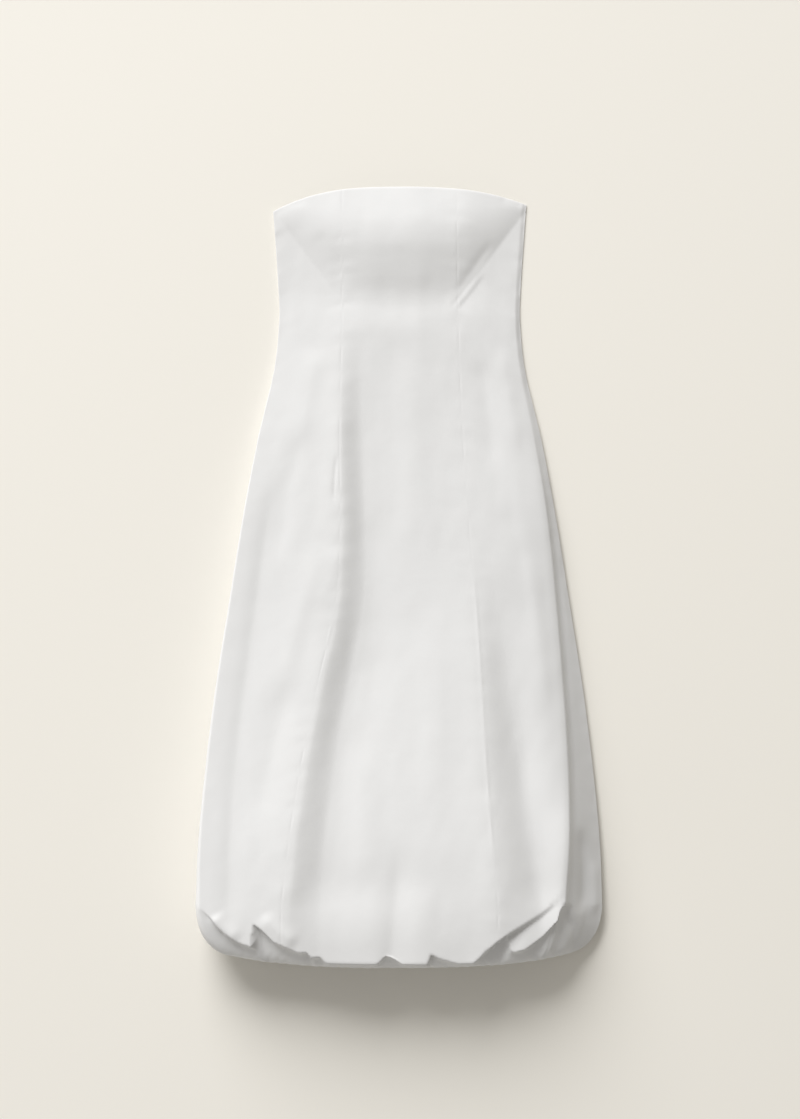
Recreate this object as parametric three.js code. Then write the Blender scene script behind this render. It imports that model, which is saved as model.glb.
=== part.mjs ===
// A strapless balloon-hem dress in white cloth, laid on its back with the skirt still puffed out.
// Millimetres. +X is the wearer's left, +Y runs from the hem to the neckline, +Z is up.
// The origin is the middle of the ground that the dress covers.
// Seven panels are cut and sewn, three in front and four behind. Each runs from the neckline down
// the skirt, turns under at the balloon hem and ends inside it, where the hem is gathered in.

import * as THREE from "three";

// A table from its column names and its rows

function namedRows(names, rows) {
  return rows.map((row) => Object.fromEntries(names.split(" ").map((name, i) => [name, row[i]])));
}

// Driving dimensions

const CLOTH = 2; // thickness of the cloth
const SEAM_GAP = 0.3; // between neighbouring panels
const NECK_MIDDLE = 585; // level of the front neckline at its middle
const NECK_CORNER = { right: 548, left: 558 }; // level of the neckline at each side seam
const NECK_POWER = 2.7; // how squarely the neckline curves down to its corners
const BACK_DIP = 16; // the back neckline is this much lower at its middle
const WAIST = 386; // level below which the rows lie straight across
const TURN_LEVEL = -488; // level at which the hem starts to turn under
const HEM_REACH = 93; // how far the hem bulges below that level, in the middle
const HEM_CORNER_REACH = 75; // and at the side seams
const HEM_CORNER_POWER = 2.4;
const HEM_PINCH = 0.208; // how far the side seams come in by the edge of the hem
const MOUTH_PINCH = 0.3; // and by the gathered mouth inside
const MOUTH_HEIGHT = 36; // height about which the hem closes in
const LIP = { front: 0.42, back: 0.64 }; // share of the height from there that the hem's edge keeps
const MOUTH = { front: 0.16, back: 0.34 }; // and the gathered mouth
const TURN_IN = 42; // the hem turns back in over this length
const TURNED_IN = 90; // and the cloth goes on up inside for this long
// How the cloth leaves the edge of the front, the back and the side seams to turn under. A low leave
// makes the edge crisp, and a dip lets the cloth drop straight down from it.
const LEAVE = { front: 0.08, back: 0.6, seam: 0.45 };
const DIP = { front: 0.35, back: 0, seam: 0 };
const RIM = 0.75; // how roundly the cloth runs over the rim of the hem
const CRISP_END = 242; // the front's edge is crisp as far to the wearer's left as this
const CRISP_FADE = 26; // and soft this much further on
const SEAM_SOFTNESS = 12; // how closely the soft edge keeps to the side seams
const EDGE_LIMIT = 0.93; // largest share of the reach that lies before the edge
const EDGE_FADE = 16; // how closely to the side seams the edge runs out
const BACK_EDGE = 0.5; // share of the reach for which the back stays on the ground
const EDGE_ROWS = 0.6; // share of the turn's rows on the way to an edge as far out as the rim
const SHOULDER = 0.84; // height of the crest of the side, as a share of the middle's
const CREST_SPAN = 0.86; // share of the half width, in columns, that lies between the crests
const SEAM_SPAN = 0.4; // share of the half width, in columns, between the front seams
const BACK_SEAM_SPAN = 0.5;

// One row for each level down the dress. half is half the width seen from above and rise the height
// of the front at its middle. R and L are the wearer's right and left, so R is at -X: edge is the
// height of the widest line, wall says how wide the side looks from above, and seam how far the
// princess seam lies from the middle. seamB is the same for the seams of the back.
const LEVELS = namedRows("y half rise edgeR edgeL wallR wallL seamR seamL seamB", [
  [585, 192.5, 13, 5, 5, 6, 10, 86, 86, 84],
  [521, 187.5, 13, 5, 5, 6, 10, 86, 86, 82],
  [430, 181.5, 13, 5, 5, 6, 10, 86, 87, 78],
  [386, 180.5, 14, 6, 5, 7, 10, 86, 88, 76],
  [311, 188, 19, 8, 5, 7, 10, 88, 90, 82],
  [206, 212.5, 26, 13, 6, 8, 11, 90, 95, 94],
  [86, 235, 35, 19, 8, 9, 14, 89, 103, 106],
  [-34, 254, 45, 26, 11, 10, 21, 95, 114, 118],
  [-154, 273, 57, 33, 15, 11, 30, 121, 122, 130],
  [-274, 288.5, 71, 40, 19, 12, 38, 146, 129, 142],
  [-394, 300, 86, 46, 22, 14, 48, 165, 138, 154],
  [-488, 303.5, 97, 50, 25, 17, 58, 176, 146, 162],
]);
// The side between the widest line and the crest, as the two middle points of a Bezier curve. On the
// wearer's right it is round, on the left it drops steeply under a crisp fold.
const SIDE_CURVE = {
  R: { edge: { inward: 0, up: 0.8 }, crest: { inward: 0.2, up: 1 } },
  L: { edge: { inward: 0.3, up: 0.25 }, crest: { inward: 0.86, up: 0.46 } },
};
const BODICE_CREST = { inward: 0.6, up: 0.85 }; // the left side's crest is softer in the bodice
const CRISP_SIDE = { from: 300, to: 60 }; // and turns crisp between these levels

// The bust stands up as a mound, bounded on each side by a crease that runs from the corner of the
// neckline in to the seam under the bust.
const BUST = namedRows("y height", [
  [585, 4.5],
  [560, 8.8],
  [532, 12.2],
  [505, 12.8],
  [480, 10.4],
  [455, 6.8],
  [430, 3],
  [408, 0.5],
  [386, 0],
]);
const BUST_CREASE = { topLevel: 554, topX: 192, lowLevel: 410, lowX: 84 };
const BUST_POWER = 2.3; // how steeply the mound ends at its creases

// Long folds down the front. A fold runs beside a seam or the outline, aside of it by top at its
// upper end and by low at its lower one, and lifts the cloth by lift. It grows over fade from its
// upper end, and dies away over right of its line towards -X and over left of it towards +X.
const FOLDS = namedRows("by sign from to fade top low lift right left", [
  ["seamR", -1, 420, -570, 220, 0, 4, 6, 50, 22],
  ["seamR", -1, 420, -570, 220, 30, 50, -6.5, 24, 55],
  ["seamR", -1, 20, -570, 200, 50, 84, -4, 32, 80],
  ["half", -1, 180, -570, 110, 37, 30, -2.5, 14, 26],
  ["seamL", 1, 60, -570, 200, 0, 2, 4.5, 40, 26],
  ["seamL", 1, 20, -570, 200, 30, 68, -8, 32, 42],
  ["seamL", 1, -120, -570, 160, 56, 70, -5, 26, 36],
  ["half", 1, 300, -420, 160, -1, -48, -8, 30, 40],
]);
const FOLD_END_FADE = 120; // they die away over this length at their lower end
const FOLD_POWER = 1.8; // how squarely a fold ends to either side

// The front ends in a crisp edge, beyond which the cloth drops to the rim and turns under. Its points
// go from the wearer's right to the left. A gathered tuck is a notch in it.
const FRONT_EDGE = namedRows("x y", [
  [-303, -489],
  [-290, -503],
  [-262, -531],
  [-240, -543],
  [-221, -549],
  [-217, -514],
  [-205, -523],
  [-187, -541],
  [-149, -558],
  [-122, -563],
  [-97, -577],
  [41, -579],
  [48, -559],
  [60, -566],
  [98, -577],
  [110, -574],
  [126, -560],
  [145, -541],
  [160, -531],
  [167, -555],
  [188, -553],
  [214, -534],
  [236, -511],
  [241, -494],
  [250, -480],
  [303, -480],
]);

// Puckers where the balloon hem is gathered. start is the place across the dress, from -1 to 1,
// where the pucker starts, and hem its place at the rim; reach is how far it runs up the skirt. A
// pucker goes in by depth, and over and under are its half widths towards -X and +X.
const FRONT_PUCKERS = namedRows("start hem reach depth over under", [
  [-0.93, -0.86, 20, 4, 12, 12],
  [-0.46, -0.42, 14, 4, 10, 14],
  [-0.05, -0.1, 46, 5, 10, 20],
  [0.14, 0.15, 24, 4, 14, 10],
  [0.72, 0.6, 40, 7, 9, 16],
  [0.93, 0.82, 30, 6, 9, 9],
]);
const BACK_PUCKERS = namedRows("start hem reach depth over under", [
  [-0.86, -0.84, 30, 6, 14, 14],
  [-0.55, -0.6, 20, 6, 12, 18],
  [-0.28, -0.3, 24, 5, 16, 12],
  [0.04, 0.02, 20, 6, 12, 12],
  [0.3, 0.34, 24, 5, 14, 18],
  [0.6, 0.58, 20, 6, 12, 12],
  [0.85, 0.82, 30, 6, 14, 14],
]);
const PUCKERS_FROM = 0.8; // there are none above this share of the plain rows
const PUCKER_POWER = 1.8; // how squarely a pucker ends to either side
const PUCKER_AT_TURN = 0.35; // share of its depth where the hem starts to turn
const PUCKER_GROWTH = 1.2; // how soon it is at its full depth from there
const PUCKER_INSIDE = 0.4; // and the share that is left inside the hem
const PUCKER_CALM = 0.06; // the last part of each side, at its side seam, has none
const GATHER_HEIGHT = 3; // waves of the gathered cloth inside, from middle to crest
const GATHER_WAVES = { front: 9, back: 6 };
const GATHERS_FROM = 1.6; // the waves start here, before the rim, which is at 2
const GATHER_GROWTH = 1.2; // and are at their full height this much further on

// Panels. The front ones run from one side seam over the front to the other, from -1 to 1, and the
// back ones do the same behind.
const PANELS = [
  { name: "side_front_right", side: "front", from: -1, to: -SEAM_SPAN, wall: 5, plain: 9 },
  { name: "centre_front", side: "front", from: -SEAM_SPAN, to: SEAM_SPAN, plain: 20 },
  { name: "side_front_left", side: "front", from: SEAM_SPAN, to: 1, wall: 5, plain: 9 },
  { name: "side_back_right", side: "back", from: -1, to: -BACK_SEAM_SPAN, wall: 3, plain: 5 },
  { name: "centre_back_right", side: "back", from: -BACK_SEAM_SPAN, to: 0, plain: 5 },
  { name: "centre_back_left", side: "back", from: 0, to: BACK_SEAM_SPAN, plain: 5 },
  { name: "side_back_left", side: "back", from: BACK_SEAM_SPAN, to: 1, wall: 3, plain: 5 },
];
const ROWS = { bodice: 13, skirt: 13, outerTurn: 6, innerTurn: 5, turnedIn: 2 };
const STEP = 1e-3; // step over which directions on the cloth are measured
const COTTON = new THREE.MeshStandardMaterial({ color: 0xf2f2f0, roughness: 0.85, metalness: 0 });

// Small helpers

const mix = (a, b, t) => a + (b - a) * t;
const clamp = (t) => Math.min(1, Math.max(0, t));
const clampIndex = (i, last) => Math.min(last, Math.max(0, i));
const ease = (t) => clamp(t) ** 2 * (3 - 2 * clamp(t));

// A smooth curve through one column of a table whose rows go down from the highest level.
function column(table, name, y) {
  const last = table.length - 1;
  if (y >= table[0].y) return table[0][name];
  if (y <= table[last].y) return table[last][name];
  const i = table.findIndex((row) => row.y <= y) - 1;
  const slope = (k) => {
    const a = table[Math.max(0, k - 1)];
    const b = table[Math.min(last, k + 1)];
    return (b[name] - a[name]) / (b.y - a.y);
  };
  const [p, q] = [table[i], table[i + 1]];
  const span = q.y - p.y;
  const t = (y - p.y) / span;
  const h = t * t * (3 - 2 * t);
  const ends = t * (1 - t) * span * ((1 - t) * slope(i) - t * slope(i + 1));
  return mix(p[name], q[name], h) + ends;
}

// A Bezier curve from 0 to 1, in one coordinate, with its two middle points
function bezier(t, nearStart, nearEnd) {
  const s = 1 - t;
  return 3 * s * s * t * nearStart + 3 * s * t * t * nearEnd + t ** 3;
}

// A quarter turn: how far along and how far across at t, leaving along and arriving across.
// leave and arrive say how squarely it turns, and a dip makes it start across.
function quarterTurn(t, leave, arrive, dip = 0) {
  return { along: bezier(t, leave, 1), across: bezier(t, dip, 1 - arrive) };
}

// Level of the neckline at a place across the front or the back

function neckLevel(side, across) {
  const corner = across < 0 ? NECK_CORNER.right : NECK_CORNER.left;
  const far = sectionPoint(side, across, NECK_MIDDLE).x / LEVELS[0].half;
  if (side === "front") return NECK_MIDDLE - (NECK_MIDDLE - corner) * Math.abs(far) ** NECK_POWER;
  const middle = (NECK_CORNER.right + NECK_CORNER.left) / 2 - BACK_DIP;
  return mix(middle, corner, far ** 2);
}

// Height of the bust's mound over the rest of the bodice

function bustMound(x, y) {
  const down = (BUST_CREASE.topLevel - y) / (BUST_CREASE.topLevel - BUST_CREASE.lowLevel);
  const edge = mix(BUST_CREASE.topX, BUST_CREASE.lowX, clamp(down));
  const inside = clamp(Math.abs(x) / edge);
  return column(BUST, "height", y) * (1 - inside ** BUST_POWER);
}

// Lift of the long folds

function foldLift(x, y) {
  let lift = 0;
  for (const f of FOLDS) {
    if (y > f.from) continue;
    const down = (f.from - y) / (f.from - f.to);
    const line = f.sign * column(LEVELS, f.by, y) + mix(f.top, f.low, down);
    const wide = x < line ? f.right : f.left;
    const fade = ease((f.from - y) / f.fade) * ease((y - f.to) / FOLD_END_FADE);
    lift += f.lift * fade * Math.exp(-((Math.abs(x - line) / wide) ** FOLD_POWER));
  }
  return lift;
}

// The dress laid smooth: a point of its outer face. side is front or back, across goes from the
// wearer's right side seam at -1 to the left one at 1, and level is the height on the table.
function sectionPoint(side, across, level) {
  const hand = across < 0 ? "R" : "L";
  const sign = Math.sign(across) || 1;
  const far = Math.abs(across);
  const half = column(LEVELS, "half", level);
  const edge = column(LEVELS, "edge" + hand, level);
  if (side === "back") {
    const seam = column(LEVELS, "seamB", level);
    const foot = half - edge;
    if (far < BACK_SEAM_SPAN) return { x: (sign * seam * far) / BACK_SEAM_SPAN, z: 0 };
    if (far < CREST_SPAN) {
      const t = (far - BACK_SEAM_SPAN) / (CREST_SPAN - BACK_SEAM_SPAN);
      return { x: sign * mix(seam, foot, t), z: 0 };
    }
    const angle = (((1 - far) / (1 - CREST_SPAN)) * Math.PI) / 2;
    return { x: sign * (half - edge * (1 - Math.cos(angle))), z: edge * (1 - Math.sin(angle)) };
  }
  const wall = column(LEVELS, "wall" + hand, level);
  const seam = column(LEVELS, "seam" + hand, level);
  const rise = column(LEVELS, "rise", level);
  const crestX = half - wall;
  const crestZ = mix(edge, rise, SHOULDER);
  if (far < CREST_SPAN) {
    const x =
      far < SEAM_SPAN
        ? (seam * far) / SEAM_SPAN
        : mix(seam, crestX, (far - SEAM_SPAN) / (CREST_SPAN - SEAM_SPAN));
    const dome = 1 - (x / crestX) ** 2;
    const z = mix(crestZ, rise, dome);
    return { x: sign * x, z: z + bustMound(x, level) + foldLift(sign * x, level) };
  }
  const t = (1 - far) / (1 - CREST_SPAN);
  const { edge: low, crest } = SIDE_CURVE[hand];
  const crisp = ease((CRISP_SIDE.from - level) / (CRISP_SIDE.from - CRISP_SIDE.to));
  const soft = hand === "L" ? 1 - crisp : 0;
  const up = bezier(t, low.up, mix(crest.up, BODICE_CREST.up, soft));
  const x = half - wall * bezier(t, low.inward, mix(crest.inward, BODICE_CREST.inward, soft));
  const lift = bustMound(x, level) + foldLift(sign * x, level);
  return { x: sign * x, z: mix(edge, crestZ, up) + lift * up };
}

// How much of the hem's reach lies before the edge at which the cloth starts to drop
function edgeShare(side, x, far, reach) {
  const fade = 1 - far ** EDGE_FADE;
  if (side === "back") return BACK_EDGE * fade;
  const last = FRONT_EDGE.length - 1;
  const i = clampIndex(FRONT_EDGE.findIndex((point) => point.x >= x) - 1, last - 1);
  const [a, b] = [FRONT_EDGE[i], FRONT_EDGE[i + 1]];
  const y = mix(a.y, b.y, clamp((x - a.x) / (b.x - a.x)));
  return Math.min(EDGE_LIMIT, Math.max(0, (TURN_LEVEL - y) / reach)) * fade;
}

// The way from where the hem starts to turn to its rim: how far along it is and how far down
function turnUnder(t, side, x, far, share) {
  const flat = EDGE_ROWS * share;
  if (t < flat) return { along: (share * t) / flat, across: 0 };
  const beyond = side === "front" ? ease((x - CRISP_END) / CRISP_FADE) : 0;
  const soft = Math.max(far ** SEAM_SOFTNESS, beyond);
  const leave = mix(LEAVE[side], LEAVE.seam, soft);
  const dip = mix(DIP[side], DIP.seam, soft);
  const drop = quarterTurn((t - flat) / (1 - flat), leave, RIM, dip);
  return { along: mix(share, 1, drop.along), across: drop.across };
}

// A point of the outer face before it is puckered. down runs from 0 at the neckline to 1 where the
// hem starts to turn, 2 at its rim, 3 where the cloth has turned inside and 4 at its end.
function smoothPoint(side, across, down) {
  if (down <= 1) {
    const bodice = ROWS.bodice / (ROWS.bodice + ROWS.skirt);
    const level =
      down < bodice
        ? mix(neckLevel(side, across), WAIST, down / bodice)
        : mix(WAIST, TURN_LEVEL, (down - bodice) / (1 - bodice));
    const p = sectionPoint(side, across, level);
    return new THREE.Vector3(p.x, level, p.z);
  }
  const p = sectionPoint(side, across, TURN_LEVEL);
  const far = Math.abs(p.x) / column(LEVELS, "half", TURN_LEVEL);
  const reach = mix(HEM_REACH, HEM_CORNER_REACH, far ** HEM_CORNER_POWER);
  const over = p.z - MOUTH_HEIGHT;
  const face = over > 0 ? "front" : "back";
  let pinch, keep, y;
  if (down <= 2) {
    const t = turnUnder(down - 1, side, p.x, far, edgeShare(side, p.x, far, reach));
    pinch = HEM_PINCH * t.across;
    keep = mix(1, LIP[face], t.across);
    y = TURN_LEVEL - reach * t.along;
  } else {
    const t = quarterTurn(clamp(3 - down), RIM, RIM);
    pinch = mix(MOUTH_PINCH, HEM_PINCH, t.across);
    keep = mix(MOUTH[face], LIP[face], t.across);
    y = TURN_LEVEL - reach + TURN_IN * (1 - t.along) + TURNED_IN * Math.max(0, down - 3);
  }
  return new THREE.Vector3(p.x * (1 - pinch * far), y, MOUTH_HEIGHT + over * keep);
}

// The outward direction of a surface given by a function of across and down
function outward(surface, side, across, down) {
  const a0 = Math.max(-1, across - STEP);
  const a1 = Math.min(1, across + STEP);
  const d0 = Math.max(0, down - STEP);
  const d1 = Math.min(4, down + STEP);
  const over = surface(side, a1, down).sub(surface(side, a0, down));
  const along = surface(side, across, d1).sub(surface(side, across, d0));
  const normal = side === "front" ? along.cross(over) : over.cross(along);
  return normal.normalize();
}

// The direction out of the cloth. Front and back share one along the side seams.
function clothDirection(side, across, down) {
  const n = outward(clothPoint, side, across, down);
  if (Math.abs(across) < 1) return n;
  return n.add(outward(clothPoint, side === "front" ? "back" : "front", across, down)).normalize();
}

// How deep the hem is pressed in by its puckers and, inside, how its gathers stand
function puckerDepth(side, across, down, half) {
  if (down <= PUCKERS_FROM) return 0;
  const alongSkirt = (1 - down) * (WAIST - TURN_LEVEL) * ((ROWS.bodice + ROWS.skirt) / ROWS.skirt);
  let depth = 0;
  for (const p of side === "front" ? FRONT_PUCKERS : BACK_PUCKERS) {
    const line = mix(p.start, p.hem, clamp(down - 1));
    const aside = (across - line) * half;
    const wide = aside < 0 ? p.over : p.under;
    const grow =
      down < 1
        ? PUCKER_AT_TURN * ease(1 - alongSkirt / p.reach)
        : mix(PUCKER_AT_TURN, 1, ease((down - 1) * PUCKER_GROWTH));
    const calm = mix(1, PUCKER_INSIDE, ease(down - 2));
    depth += p.depth * grow * calm * Math.exp(-((Math.abs(aside) / wide) ** PUCKER_POWER));
  }
  const inner = ease((down - GATHERS_FROM) / GATHER_GROWTH);
  depth += GATHER_HEIGHT * inner * Math.cos(across * Math.PI * GATHER_WAVES[side]);
  return depth * ease((1 - Math.abs(across)) / PUCKER_CALM);
}

function clothPoint(side, across, down) {
  const p = smoothPoint(side, across, down);
  const half = column(LEVELS, "half", TURN_LEVEL);
  const depth = puckerDepth(side, across, down, half);
  if (depth === 0) return p;
  return p.addScaledVector(outward(smoothPoint, side, across, down), -depth);
}

// Rows down a panel and columns across it

function rowsDown() {
  const rows = [];
  const plain = ROWS.bodice + ROWS.skirt;
  for (let i = 0; i < plain; i++) rows.push(i / plain);
  for (let i = 0; i < ROWS.outerTurn; i++) rows.push(1 + i / ROWS.outerTurn);
  for (let i = 0; i < ROWS.innerTurn; i++) rows.push(2 + i / ROWS.innerTurn);
  for (let i = 0; i <= ROWS.turnedIn; i++) rows.push(3 + i / ROWS.turnedIn);
  return rows;
}

function columnsAcross(panel) {
  const stops = [];
  // Columns lie closer together near the ends of a stretch
  const stretch = (a, b, count) => {
    for (let i = 0; i < count; i++) {
      const t = i / count;
      stops.push(mix(a, b, (t + (1 - Math.cos(Math.PI * t)) / 2) / 2));
    }
  };
  if (panel.from === -1) {
    stretch(-1, -CREST_SPAN, panel.wall);
    stretch(-CREST_SPAN, panel.to, panel.plain);
  } else if (panel.to === 1) {
    stretch(panel.from, CREST_SPAN, panel.plain);
    stretch(CREST_SPAN, 1, panel.wall);
  } else stretch(panel.from, panel.to, panel.plain);
  stops.push(panel.to);
  return stops;
}

// A panel is a wall between its outer face and a copy of it moved in by the cloth's thickness
function panelGeometry(panel) {
  const rows = rowsDown();
  const stops = columnsAcross(panel);
  const positions = [];
  const inner = [];
  for (const down of rows) {
    stops.forEach((stop, i) => {
      let across = stop;
      if (i === 0 || i === stops.length - 1) {
        const inwards = i === 0 ? 1 : -1;
        const near = clothPoint(panel.side, stop + inwards * STEP, down);
        const speed = near.distanceTo(clothPoint(panel.side, stop, down)) / STEP;
        across += (inwards * SEAM_GAP) / 2 / speed;
      }
      const p = clothPoint(panel.side, across, down);
      // Two panels share one direction along their seam, so that the gap is as wide inside
      const n = clothDirection(panel.side, stop, down);
      positions.push(p.x, p.y, p.z);
      const q = p.clone().addScaledVector(n, -CLOTH);
      inner.push(q.x, q.y, q.z);
    });
  }
  const wide = stops.length;
  const count = rows.length * wide;
  const faces = [];
  const quad = (a, b, c, d) => faces.push(a, b, c, a, c, d);
  for (let r = 0; r + 1 < rows.length; r++) {
    for (let c = 0; c + 1 < wide; c++) {
      const [a, e] = [r * wide + c, (r + 1) * wide + c];
      const [b, f] = [a + 1, e + 1];
      quad(a, e, f, b);
      quad(count + a, count + b, count + f, count + e);
    }
    const [l, m] = [r * wide, (r + 1) * wide];
    quad(l, count + l, count + m, m);
    quad(l + wide - 1, m + wide - 1, count + m + wide - 1, count + l + wide - 1);
  }
  for (let c = 0; c + 1 < wide; c++) {
    const end = (rows.length - 1) * wide + c;
    quad(c, c + 1, count + c + 1, count + c);
    quad(end, count + end, count + end + 1, end + 1);
  }
  if (panel.side === "back") {
    for (let i = 1; i < faces.length; i += 3) [faces[i], faces[i + 1]] = [faces[i + 1], faces[i]];
  }
  const geometry = new THREE.BufferGeometry();
  geometry.setAttribute("position", new THREE.Float32BufferAttribute(positions.concat(inner), 3));
  geometry.setIndex(faces);
  geometry.computeVertexNormals();
  return geometry;
}

const dress = new THREE.Group();
for (const panel of PANELS) {
  const mesh = new THREE.Mesh(panelGeometry(panel), COTTON.clone());
  mesh.name = panel.name;
  dress.add(mesh);
}

export default dress;
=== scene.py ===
# %% [markdown]
# # A strapless dress with a balloon hem
#
# The dress is white cotton poplin and lies on its back, with the skirt still puffed out. A plain
# solid model of it comes in as the frame: it has the right size and place, but few faces. This
# notebook lays finer cloth over it, panel by panel, and gives it folds, seams and a weave.

# %% Start from the solid model
import math

import bpy
import numpy as np
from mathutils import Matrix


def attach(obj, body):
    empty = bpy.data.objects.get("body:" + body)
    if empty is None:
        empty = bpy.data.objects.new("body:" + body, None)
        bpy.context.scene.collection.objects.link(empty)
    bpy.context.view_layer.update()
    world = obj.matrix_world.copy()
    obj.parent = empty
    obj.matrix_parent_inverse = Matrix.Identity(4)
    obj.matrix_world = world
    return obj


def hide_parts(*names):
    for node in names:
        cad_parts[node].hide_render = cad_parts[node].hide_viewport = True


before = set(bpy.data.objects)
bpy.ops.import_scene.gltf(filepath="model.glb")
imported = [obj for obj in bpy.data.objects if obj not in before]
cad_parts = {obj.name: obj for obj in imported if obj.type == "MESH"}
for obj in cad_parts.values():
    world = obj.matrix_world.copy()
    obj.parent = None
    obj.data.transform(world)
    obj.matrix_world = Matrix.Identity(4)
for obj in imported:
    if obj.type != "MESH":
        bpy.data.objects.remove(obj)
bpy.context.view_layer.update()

MM = 0.001
print("solid panels:", sorted(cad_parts))

# %% [markdown]
# ## The sizes of the dress
#
# A dress could be sculpted by eye, but then it would drift from the solid model. Instead the same
# few sizes that the pattern was worked out from are written down, in millimetres, and every point
# of the cloth comes from them. X points to the wearer's left, Y to the neckline and Z up, and right
# and left are always the wearer's.

# %% Levels from the neckline to the hem
NECK_MIDDLE = 585.0
WAIST = 386.0
TURN_LEVEL = -488.0


def table(names, rows):
    """Named columns, each an array with one value for each row."""
    return dict(zip(names.split(), np.array(rows, float).T))


# half is half the width and rise the height of the middle. On either side, edge is the height of
# the widest line, wall is how far the crest lies inside it, and seam is how far out the seam runs
LEVELS = table(
    "y half rise edge_right edge_left wall_right wall_left seam_right seam_left seam_back",
    [
        (585, 192.5, 7, 3, 1.5, 1.5, 8, 86, 86, 84),
        (521, 187.5, 8.5, 3, 1.5, 1.5, 8, 86, 86, 82),
        (430, 181.5, 11, 3, 1.5, 1.5, 8, 86, 87, 78),
        (386, 180.5, 15.5, 4, 2, 1.5, 8, 86, 88, 76),
        (311, 188.0, 20, 7.5, 3, 1.6, 9, 88, 90, 82),
        (206, 212.5, 25.5, 13, 5, 2, 11, 90, 95, 94),
        (86, 235.0, 32.5, 20, 6, 2.5, 13, 89, 103, 106),
        (-34, 254.0, 40.5, 28, 6, 3, 20, 95, 114, 118),
        (-154, 273.0, 52, 37, 5.5, 3.5, 29, 121, 122, 130),
        (-274, 288.5, 66, 46, 6.5, 4.5, 37, 146, 129, 142),
        (-394, 300.0, 82, 55, 9, 6, 47, 165, 138, 154),
        (-488, 303.5, 91.5, 60, 14, 9, 57, 176, 146, 162),
    ],
)
print("levels in the pattern table:", len(LEVELS["y"]))

# %% [markdown]
# ## Curves through a table
#
# A table of a dozen levels gives a smooth dress if a curve runs through each of its columns.
# Straight lines would leave a kink at every level. Cubic pieces that share their slopes have none,
# and they stay close to the numbers in the table.

# %% Small curves that the shape is made of


def mix(a, b, t):
    """The value at the share t of the way from a to b."""
    return a + (b - a) * t


def clamp(t):
    """t itself, but never below 0 or above 1."""
    return np.clip(t, 0.0, 1.0)


def ease(t):
    """A soft step from 0 to 1."""
    t = clamp(t)
    return t * t * (3 - 2 * t)


def column(rows, name, y):
    """A smooth curve through one column of a table, at the levels y."""
    levels, values = rows["y"][::-1], rows[name][::-1]
    count = len(levels)
    above = np.minimum(np.arange(count) + 1, count - 1)
    below = np.maximum(np.arange(count) - 1, 0)
    slopes = (values[above] - values[below]) / (levels[above] - levels[below])
    i = np.clip(np.searchsorted(levels, y, side="right") - 1, 0, count - 2)
    span = levels[i + 1] - levels[i]
    t = clamp((y - levels[i]) / span)
    ends = t * (1 - t) * span * ((1 - t) * slopes[i] - t * slopes[i + 1])
    return mix(values[i], values[i + 1], t * t * (3 - 2 * t)) + ends


def bezier(t, near_start, near_end):
    """A Bezier curve from 0 to 1, in one coordinate, with its two middle points."""
    s = 1 - t
    return 3 * s * s * t * near_start + 3 * s * t * t * near_end + t**3


def quarter_turn(t, leave, arrive, dip=0.0):
    """A quarter turn: how far along and how far across at t. A dip makes it start across."""
    return bezier(t, leave, 1.0), bezier(t, dip, 1 - arrive)


print("half width at the waist:", round(float(column(LEVELS, "half", WAIST)), 1), "mm")

# %% [markdown]
# ## The bust
#
# Seams shape the bodice to make room for the bust, so the front stands up there as a low mound. A
# sphere could be pushed into the cloth, but the picture shows straight edges: two creases that run
# from the corners of the neckline down and inwards. So the height of the mound comes from a short
# table, and it falls to nothing at those creases.

# %% The mound of the bust
BUST = table(
    "y height",
    [
        (585, 3.5), (560, 8), (532, 12.2), (505, 13), (480, 10.5), (455, 7),
        (430, 2.6), (408, 0.2), (386, 0),
    ],
)
BUST_CREASE = {"top_level": 554.0, "top_x": 192.0, "low_level": 410.0, "low_x": 84.0}
BUST_POWER = 2.3


def bust_mound(x, y):
    """Height that the bust adds at the places x, on the levels y."""
    top, low = BUST_CREASE["top_level"], BUST_CREASE["low_level"]
    crease_x = mix(BUST_CREASE["top_x"], BUST_CREASE["low_x"], clamp((top - y) / (top - low)))
    inside = clamp(np.abs(x) / crease_x)
    return column(BUST, "height", y) * (1 - inside**BUST_POWER)


print("the bust rises by up to", BUST["height"].max(), "mm")

# %% [markdown]
# ## Long folds
#
# The panels hold more cloth than the dress needs as it lies, and the spare cloth stands up or sinks
# in long folds beside the princess seams and along both sides. A brush could sculpt them one by one.
# A table is easier to set against a picture: each row is one fold, with its line, its levels, its
# height and its width on either side.

# %% Folds that run beside a seam or the outline
# seam is a place in FOLD_BESIDE, and sign says on which side of the dress. top and low are how far
# to the wearer's left of that line the fold starts and stops
FOLD_BESIDE = ("seam_right", "seam_left", "half")
FOLD_END = 120.0
FOLDS = table(
    "seam sign start stop fade top low lift right left crisp",
    [
        (0, -1, 420, -570, 220, 0, 12, 6, 50, 22, 1.6),
        (0, -1, 420, -570, 220, 26, 61, -6, 24, 110, 1.8),
        (2, -1, 180, -570, 110, 37, 52, -2.5, 14, 26, 1.7),
        (0, -1, 20, -570, 200, 50, 88, -2.5, 32, 80, 1.8),
        (1, 1, 60, -570, 200, 0, 2, 4.5, 40, 26, 1.8),
        (1, 1, 20, -570, 200, 30, 68, -8, 32, 42, 1.8),
        (1, 1, -120, -570, 160, 56, 70, -5, 26, 36, 1.8),
        (1, 1, 80, -480, 160, 0, 0, 0.6, 3, 2.5, 1.8),
        (2, 1, 300, -420, 420, -1, -48, -8, 30, 40, 1.8),
    ],
)


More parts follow.
